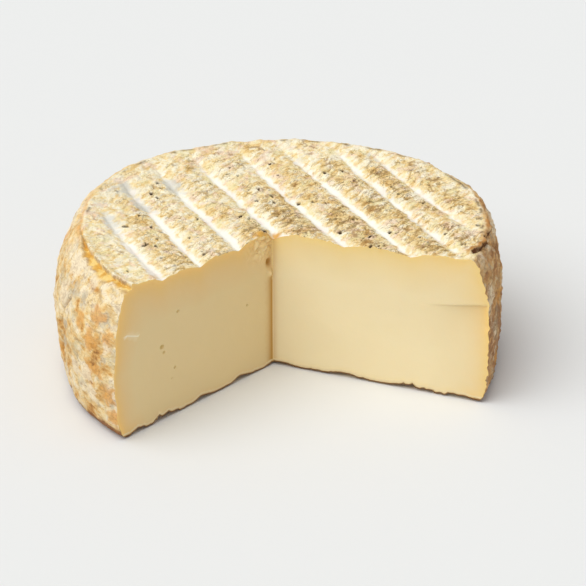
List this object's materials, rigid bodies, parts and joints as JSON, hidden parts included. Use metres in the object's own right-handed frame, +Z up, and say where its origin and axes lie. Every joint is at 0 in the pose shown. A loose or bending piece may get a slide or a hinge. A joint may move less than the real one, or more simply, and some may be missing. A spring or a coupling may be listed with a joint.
{
  "type": "tomme cheese",
  "caption": "Round wheel of tomme cheese with a wide wedge cut out: pale smooth paste inside a furrowed, lightly bloomed golden rind.",
  "frame": {"origin": "middle of the footprint's bounding box, on the surface that the wheel rests on", "axes": "+Z up; the cut-out opens towards -Y; +X to the right, seen from the cut-out"},
  "size_m": [0.2016, 0.1575, 0.0716],
  "materials": {
    "rind": "matt, wrinkled and bloomed",
    "paste": "smooth and faintly waxy"
  },
  "bodies": {
    "root": {"cheese_wheel": "rind"}
  },
  "joints": []
}
